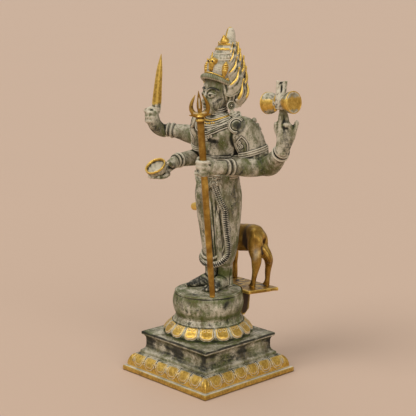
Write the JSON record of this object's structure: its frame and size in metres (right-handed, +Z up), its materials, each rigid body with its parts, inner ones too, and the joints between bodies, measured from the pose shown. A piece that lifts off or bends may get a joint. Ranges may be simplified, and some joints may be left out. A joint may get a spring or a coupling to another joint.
{
  "type": "shiva figure",
  "caption": "Standing multi-armed temple figure in cast brass on a lotus pedestal and square plinth, with trident, sword, drum, bowl and a dog on a side bracket.",
  "frame": {"origin": "centre of the plinth's flat underside", "axes": "+Z up, -Y the way the figure faces, +X its left side"},
  "size_m": [0.3301, 0.216, 0.6033],
  "materials": {
    "plinth": "grey-green patina with worn gilding on the petal moulding and bottom plate",
    "pedestal": "grey-green patina with gilded petals",
    "figure": "grey-green and cream patina with gilded details",
    "trident": "aged golden brown, satin",
    "dog": "aged golden brown, satin, brighter on high spots"
  },
  "bodies": {
    "root": {"square_base": "plinth", "lotus_pedestal": "pedestal", "figure": "figure", "trident": "trident", "dog": "dog"}
  },
  "joints": []
}
